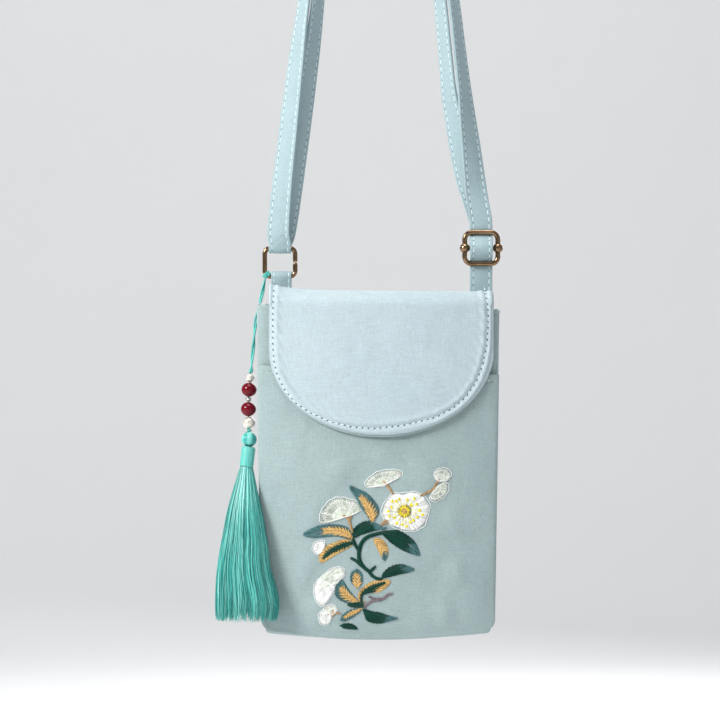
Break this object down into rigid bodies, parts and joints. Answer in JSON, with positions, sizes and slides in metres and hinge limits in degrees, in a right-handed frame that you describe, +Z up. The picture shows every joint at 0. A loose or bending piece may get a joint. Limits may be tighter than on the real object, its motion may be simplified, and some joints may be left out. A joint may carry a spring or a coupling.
{
  "type": "chinese embroidered purse",
  "caption": "Pale blue cloth phone purse with a rounded flap, embroidered slip pocket, long doubled strap on a ring and slider, and a beaded tassel charm.",
  "frame": {"origin": "inside top of the strap loop, where the purse hangs on a peg", "axes": "+Z up, -Y towards the viewer of the front, +X to the right in the front view"},
  "size_m": [0.146, 0.0341, 0.4841],
  "materials": {
    "pouch_cloth": "matte",
    "flap_cloth": "matte",
    "strap_cloth": "matte",
    "light_metal": "polished",
    "teal_silk": "satin",
    "red_bead": "gloss",
    "pearl_bead": "pearl",
    "silver_bead": "polished"
  },
  "bodies": {
    "root": {"main_pouch": "pouch_cloth", "front_pocket": "pouch_cloth", "flap": "flap_cloth", "ring_tab": "strap_cloth", "strap": "strap_cloth", "ring": "light_metal", "slider_frame": "light_metal", "slider_bar": "light_metal", "charm_hitch": "teal_silk", "charm_cord": "teal_silk", "cord_knot": "teal_silk", "lower_knot": "teal_silk", "bead_thread": "teal_silk", "tassel_head": "teal_silk", "tassel_wrap": "teal_silk", "tassel_skirt": "teal_silk", "bead_pearl_small": "pearl_bead", "bead_red_upper": "red_bead", "bead_silver": "silver_bead", "bead_red_lower": "red_bead", "bead_pearl_large": "pearl_bead"}
  },
  "joints": []
}
